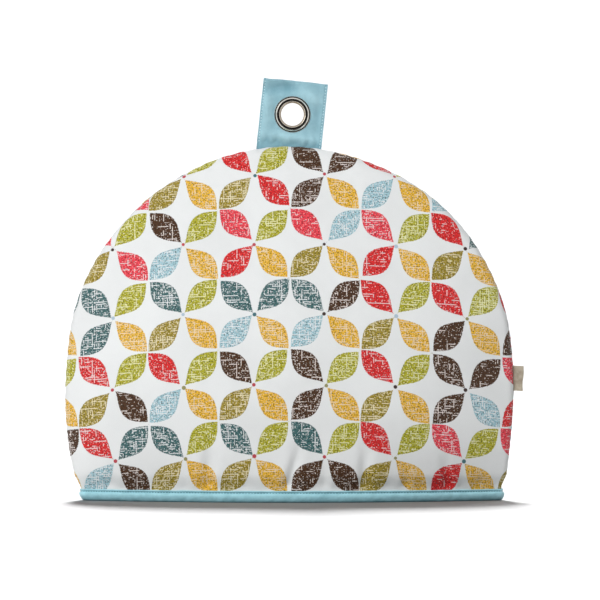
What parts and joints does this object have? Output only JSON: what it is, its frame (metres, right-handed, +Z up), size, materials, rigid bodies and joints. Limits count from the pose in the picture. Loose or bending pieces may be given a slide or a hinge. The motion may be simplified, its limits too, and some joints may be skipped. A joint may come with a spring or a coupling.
{
  "type": "tea cosy",
  "caption": "Wadded dome tea cosy in leaf-printed cotton, open at its bound hem, with a hanging tab and eyelet at the top and a blank tape label in the side seam.",
  "frame": {"origin": "middle of the whole outline's footprint, label included, on the surface that the hem rests on", "axes": "+Z up from the hem to the tab; +X to the right as seen from the front, along the width; the front panel faces -Y"},
  "size_m": [0.3443, 0.1054, 0.3169],
  "materials": {
    "printed_cotton": "matt plain-weave cotton, off-white with a leaf print in red, lime, olive, mustard, brown, teal and light blue",
    "bias_tape": "matt light blue cotton bias tape with a darker stitch line",
    "tab_cotton": "matt light blue cotton, a little duller than the binding",
    "polished_nickel": "polished nickel plate",
    "label_tape": "matt beige woven tape, blank"
  },
  "bodies": {
    "root": {"panel_front": "printed_cotton", "panel_back": "printed_cotton", "hem_binding": "bias_tape", "hanging_tab": "tab_cotton", "eyelet": "polished_nickel", "eyelet_washer": "polished_nickel", "side_label": "label_tape"}
  },
  "joints": []
}
